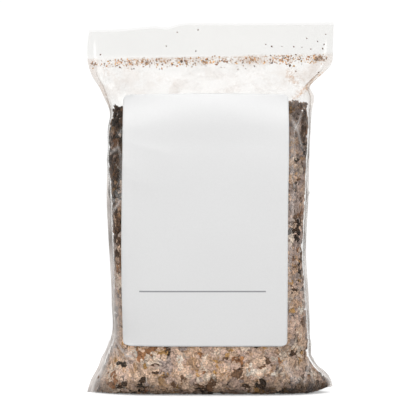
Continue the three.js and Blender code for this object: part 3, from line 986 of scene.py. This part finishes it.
def mixed(centres, draw):
    """Kinds, shades and polish. Neighbours often match, as they split off one larger plate."""
    count = len(centres)
    squares = (centres**2).sum(1)[:, None] + (patch_places**2).sum(1)[None]
    nearest = (squares - 2 * centres @ patch_places.T).argmin(1)
    matching = draw.random(count) < MATCHING
    kind = np.where(matching, patch_kinds[nearest], kinds_at(centres, draw))
    kind = kind + draw.normal(0, 0.02, count)
    shade = draw.uniform(0.82, 1.12, count) * brightness(centres)
    polish = draw.uniform(0.22, 0.6, count)
    return np.stack([np.clip(kind, 0, 1), shade, polish], 1)


def flake_layer(name, places, size_range, depths, lean, corners, plates, curl=1.0):
    """A joined mesh of flakes. Sizes and depths under the film are in millimetres."""
    centres, normals = places
    shapes = [flake_shape(flake_draw, corners, plates, curl) for _ in range(SHAPES)]
    count = len(centres)
    low, high = size_range
    sizes = (low + (high - low) * flake_draw.random(count) ** 1.5) * MM
    turns = turned(normals, np.abs(flake_draw.normal(0, lean, count)), flake_draw)
    shallow, deep = depths
    allowed = -(UNDER_FILM + (shallow + (deep - shallow) * flake_draw.random(count)) * MM)

    def settle(laid, mine):
        return kept_inside(laid, normals[mine], allowed[mine], centres[mine])

    marks = mixed(centres, flake_draw)
    made = joined_flakes(name, shapes, centres, turns, sizes, marks, settle)
    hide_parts("mica_fill")


flake_draw = np.random.default_rng(1)
large_places = on_the_film(4900, flake_draw, below=168 * MM)
flake_layer("large_flakes", large_places, (4.0, 10.5), (0, 0.35), 0.06, 10, 2, curl=0.4)

# name, number, range of sizes and of depths in mm, lean, corners and plates
LAYERS = [
    ("middling_flakes", 13000, (1.8, 4.2), (0.3, 1.7), 0.18, 7, 1),
    ("small_flakes", 14000, (0.7, 1.6), (0.3, 1.7), 0.4, 5, 1),
    ("deep_flakes", 9000, (2.6, 5.4), (0.6, 2.6), 0.3, 6, 1),
]
for layer_name, number, *form in LAYERS:
    flake_layer(layer_name, on_the_film(number, flake_draw), *form)
flake_layer("top_flakes", on_the_top(3500, flake_draw), (1.2, 4.5), (0, 1.5), 0.5, 6, 1)


# ---- Heart of the fill ----
# The imported mica behind the flakes that show, too deep to be seen as single plates. It is one
# dark body, drawn in from the surface of the fill. Its dark brown is painted shade, standing for
# the shadowed gaps between the flakes.

HEART_DEPTH = 1.9 * MM
WELD = 0.001 * MM

heart_form = bmesh.new()
heart_form.from_mesh(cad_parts["mica_fill"].data)
bmesh.ops.remove_doubles(heart_form, verts=heart_form.verts, dist=WELD)
heart_form.normal_update()
for vertex in heart_form.verts:
    vertex.co -= vertex.normal * HEART_DEPTH
heart_mesh = bpy.data.meshes.new("mica_heart")
heart_form.to_mesh(heart_mesh)
heart_form.free()
mica_heart = bpy.data.objects.new("mica_heart", heart_mesh)
bpy.context.collection.objects.link(mica_heart)
deep_mica = bpy.data.materials.new("deep_mica")
deep_mica.use_nodes = True
deep_tree = deep_mica.node_tree
# a dark brown kind, as painted shade deep between the flakes
deep_given = {"Kind": 0.19, "Shade": 1.0}
deep_tone = add_node(deep_tree, "Group", deep_given, node_tree=mica_tone).outputs["Colour"]
feed(deep_tree, deep_tree.nodes["Principled BSDF"], {"Base Color": deep_tone, "Roughness": 0.6})
heart_mesh.materials.append(deep_mica)
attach(mica_heart, "root")
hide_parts("mica_fill")


# ---- Mica books ----
# The largest pieces at the surface: stacks of cleaved plates, each with a ragged, stepped edge
# and a bright face, lying flat against the film.

PLATES = 4
BOOK_CORNERS = 7
book_mica = mica_finish("book_mica")


def book_place(node):
    """The middle, the three ways and the reach along each of one CAD flake."""
    corners = np.unique([tuple(v.co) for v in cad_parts[node].data.vertices], axis=0)
    middle = corners.mean(0)
    ways = np.linalg.eigh(np.cov((corners - middle).T))[1][:, ::-1]
    if np.linalg.det(ways) < 0:
        ways[:, 2] *= -1
    flat = (corners - middle) @ ways
    reach = np.abs(flat).max(0)
    outward = np.array([0, np.sign(middle[1]), 0])
    if abs(ways[:, 2] @ outward) > 0.1 and ways[:, 2] @ outward < 0:
        ways[:, 1:] *= -1
    return middle, ways, reach


book_draw = np.random.default_rng(33)
book_nodes = sorted(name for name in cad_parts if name.startswith("flake_"))
for node in book_nodes:
    middle, ways, reach = book_place(node)
    form = bmesh.new()
    for plate in range(PLATES):
        rim = bmesh.ops.create_circle(form, cap_ends=True, radius=1, segments=BOOK_CORNERS)["verts"]
        share = (0.98 - 0.13 * plate) * book_draw.uniform(0.9, 1)
        slide = book_draw.uniform(-0.1, 0.1, 2) * (plate > 0)
        for vertex in rim:
            ragged = share * book_draw.uniform(0.55, 1)
            vertex.co.x = (vertex.co.x * ragged + slide[0]) * reach[0]
            vertex.co.y = (vertex.co.y * ragged + slide[1]) * reach[1]
            vertex.co.z = (-1 + 2 * plate / PLATES) * reach[2]
        face = next(face for face in form.faces if face.verts[0] in rim)
        raised = bmesh.ops.extrude_face_region(form, geom=[face])["geom"]
        raised = [part for part in raised if isinstance(part, bmesh.types.BMVert)]
        bmesh.ops.translate(form, verts=raised, vec=(0, 0, 1.7 / PLATES * reach[2]))
    bmesh.ops.recalc_face_normals(form, faces=form.faces)
    for vertex in form.verts:
        vertex.co = Vector(middle + ways @ np.array(vertex.co))
    mesh = bpy.data.meshes.new(node.replace("flake", "book"))
    form.to_mesh(mesh)
    form.free()
    mesh.shade_flat()
    kind, shade, polish = mixed(middle[None], book_draw)[0]
    mark = mesh.color_attributes.new("flake", "FLOAT_COLOR", "POINT")
    for vertex in mark.data:
        vertex.color = (kind, shade, polish, 1)
    book = bpy.data.objects.new(mesh.name, mesh)
    bpy.context.collection.objects.link(book)
    mesh.materials.append(book_mica)
    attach(book, "root")
    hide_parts(node)


# ---- Dust in the zip ----
# Mica grains caught between the front web and the strips when the bag was filled, mostly in
# clumps. A few have fallen just below the strips, and single specks strayed up to the lips.

zip_draw = np.random.default_rng(7)
SCATTERED = 380
FALLEN = 70
GRAIN_GAP = 0.13 * MM
chips = [flake_shape(zip_draw, corners=6, plates=1) for _ in range(10)]

# middle, spread along, spread in height and number of grains of each clump, in mm
CLUMPS = [
    (-71, 1.8, 1.2, 26),
    (-58, 3.5, 0.9, 22),
    (-48, 3.2, 1.0, 30),
    (-39, 3.4, 1.0, 32),
    (-28, 3.0, 1.0, 26),
    (-18, 1.6, 0.8, 20),
    (-2, 2.4, 1.0, 28),
    (8, 3.5, 1.0, 26),
    (26, 1.8, 0.9, 24),
    (43, 2.2, 1.3, 44),
    (49, 2.4, 1.4, 46),
    (57, 3.0, 0.9, 20),
    (66.5, 2.2, 1.1, 60),
]

# along, height and size of the large grains and of the specks that strayed from the zip, in mm
LARGE_GRAINS = [
    (-17.6, 203.2, 2.4),
    (-1.8, 204.4, 2.3),
    (26.2, 204.3, 2.4),
    (65.4, 204.8, 3.8),
    (67.4, 206.2, 3.2),
    (68.6, 205.2, 3.0),
    (64.2, 204.2, 2.4),
    (69.8, 204.2, 2.2),
    (46.5, 205.4, 1.8),
]
SPECKS = [
    (-67.4, 207.6, 1.4),
    (-27, 212.5, 1.7),
    (-20.2, 221.2, 1.2),
    (-7.4, 222.6, 1.3),
    (-8.6, 209.5, 1.4),
    (34.3, 213.8, 1.3),
    (38, 212.7, 1.9),
    (44.1, 212.5, 1.3),
    (51.5, 212.3, 1.3),
    (56.4, 211.9, 1.4),
    (59.5, 217.4, 1.4),
    (66.2, 215.6, 1.3),
    (71.2, 219.9, 1.3),
    (70.2, 213.8, 1.6),
    (61.9, 210.7, 1.4),
    (69.3, 211.3, 1.7),
    (-2.5, 200.6, 1.3),
    (6.7, 199.7, 1.2),
    (-11, 199.9, 1.2),
    (49.4, 200.8, 2.8),
    (52.7, 197.2, 1.6),
    (66.8, 196.4, 2.0),
    (-31, 198.4, 1.0),
    (22, 198.8, 1.0),
]


def beside_web(x, z):
    """Depth just inside the front web."""
    return lip_sway(x, z) - body_depth(-1, x, z) + GRAIN_GAP


def zip_grains():
    """Grains between the web and the strips: an even scatter, the clumps and the strays."""
    along = [zip_draw.uniform(-67, 72, SCATTERED), zip_draw.uniform(-66, 70, FALLEN)]
    rise = [zip_draw.uniform(-2.5, 2.0, SCATTERED), -2.4 - zip_draw.exponential(1.0, FALLEN)]
    for middle, spread, tall, number in CLUMPS:
        along.append(zip_draw.normal(middle, spread, number))
        rise.append(zip_draw.normal(-0.3, tall, number))
    x = np.clip(np.concatenate(along), -73.5, 73) * MM
    z = ZIP_HEIGHT + x * ZIP_SLOPE + np.clip(np.concatenate(rise), -6, 2.6) * MM
    set_apart = np.array(LARGE_GRAINS + SPECKS)
    x = np.concatenate([x, set_apart[:, 0] * MM])
    z = np.concatenate([z, set_apart[:, 1] * MM])
    sizes = (0.6 + 1.4 * zip_draw.random(len(x)) ** 2.2) * MM
    sizes[-len(set_apart):] = set_apart[:, 2] * MM
    return np.stack([x, beside_web(x, z), z], 1), sizes


ZIP_KINDS = [0.1, 0.2, 0.3, 0.4, 0.5, 0.6]
ZIP_MIX = [0.07, 0.13, 0.36, 0.30, 0.10, 0.04]


def zip_marks(count):
    """Kind, shade and polish of each grain. The large ones and the strays are dark."""
    kind = zip_draw.choice(ZIP_KINDS, size=count, p=ZIP_MIX) + zip_draw.normal(0, 0.02, count)
    kind[-len(LARGE_GRAINS + SPECKS):] = 0.13
    shade = zip_draw.uniform(1.0, 1.8, count)
    polish = zip_draw.uniform(0.45, 0.7, count)
    return np.stack([np.clip(kind, 0, 1), shade, polish], 1)


grains, grain_sizes = zip_grains()
facing = np.tile([0.0, -1.0, 0.0], (len(grains), 1))
grain_turns = turned(facing, np.abs(zip_draw.normal(0, 0.05, len(grains))), zip_draw)
grain_marks = zip_marks(len(grains))
zip_dust = joined_flakes("zip_dust", chips, grains, grain_turns, grain_sizes, grain_marks)


# ---- Label ----
# A die-cut 4 x 6 in paper label with rounded corners, stuck on the front. It bends with the bag,
# but its long edges stand off a little. One thin grey rule crosses it near the foot.

LABEL_LIFT = 0.5 * MM
LABEL_CORNER = 3 * MM
LABEL_HALF_HEIGHT = 76.2 * MM
PAPER_THICKNESS = 0.15 * MM

# height, left edge and right edge of the label as it wraps back with the bag, in mm
LABEL_EDGES = [
    (27, -51.5, 46.0),
    (40, -51.9, 46.2),
    (60, -52.6, 46.4),
    (120, -52.7, 46.8),
    (148, -52.4, 47.4),
    (182, -52.4, 47.4),
]
LABEL_FOLDS = [
    ((-56, 154), (-24, 146), 2.6, 0.30),
    ((-56, 131), (-30, 127), 2.8, 0.24),
    ((-56, 142), (-40, 132), 2.4, 0.16),
]
label_left, label_right = over_height(LABEL_EDGES, 1), over_height(LABEL_EDGES, 2)


def label_points():
    up = np.linspace(1, -1, 150)
    across = np.linspace(-1, 1, 100)
    middle_z = (label_low.z + label_high.z) / 2
    beyond = np.maximum(np.abs(up) * LABEL_HALF_HEIGHT - (LABEL_HALF_HEIGHT - LABEL_CORNER), 0)
    inset = LABEL_CORNER - np.sqrt(np.maximum(LABEL_CORNER**2 - beyond**2, 0))
    z = middle_z + up[:, None] * LABEL_HALF_HEIGHT + 0 * across[None, :]
    middle_x = (label_left(z) + label_right(z)) / 2
    half_width = (label_right(z) - label_left(z)) / 2
    x = middle_x + across[None, :] * (half_width - inset[:, None])
    points = np.stack([x, -body_depth(-1, x, z), z], -1)
    edge = smooth_step(np.abs(across), 0.86, 1)[None, :]
    lift = LABEL_LIFT + slack(-1, x, z) + 0.5 * MM * edge
    for start, end, width, height in LABEL_FOLDS:
        lift = lift + crease(x, z, start, end, width, height)
    return points + normals_of(points, -1) * lift[..., None]


white_paper = bpy.data.materials.new("white_paper")
white_paper.use_nodes = True
paper = white_paper.node_tree
paper_place = add_node(paper, "TexCoord").outputs["Object"]
fibre = {"Vector": paper_place, "Scale": 900, "Detail": 4}
fibre = add_node(paper, "TexNoise", fibre).outputs[0]

# the rule: its middle and half size across and in height, in mm, as a mask
RULE = [("X", -4.5, 38.1), ("Z", 63.0, 0.42)]
paper_axes = add_node(paper, "SeparateXYZ", {0: paper_place}).outputs
in_rule = [
    math_node(paper, "COMPARE", paper_axes[axis], middle * MM, half * MM)
    for axis, middle, half in RULE
]
paper_tones = {
    "Factor": math_node(paper, "MULTIPLY", *in_rule),
    "A": ranged(paper, fibre, to_min=0.755, to_max=0.795),
    "B": (0.30, 0.30, 0.31, 1),
}
paper_bump = {"Strength": 0.15, "Distance": 0.05 * MM, "Height": fibre}
paper_inputs = {
    "Base Color": add_node(paper, "Mix", paper_tones, data_type="RGBA").outputs["Result"],
    "Roughness": 0.55,
    "Specular IOR Level": 0.35,
    "Normal": add_node(paper, "Bump", paper_bump).outputs["Normal"],
}
feed(paper, paper.nodes["Principled BSDF"], paper_inputs)

paper_label = sheet_object("paper_label", label_points())
paper_wall = paper_label.modifiers.new("wall", "SOLIDIFY")
paper_wall.thickness = PAPER_THICKNESS
paper_wall.offset = 0
paper_label.data.materials.append(white_paper)
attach(paper_label, "root")
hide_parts("label")
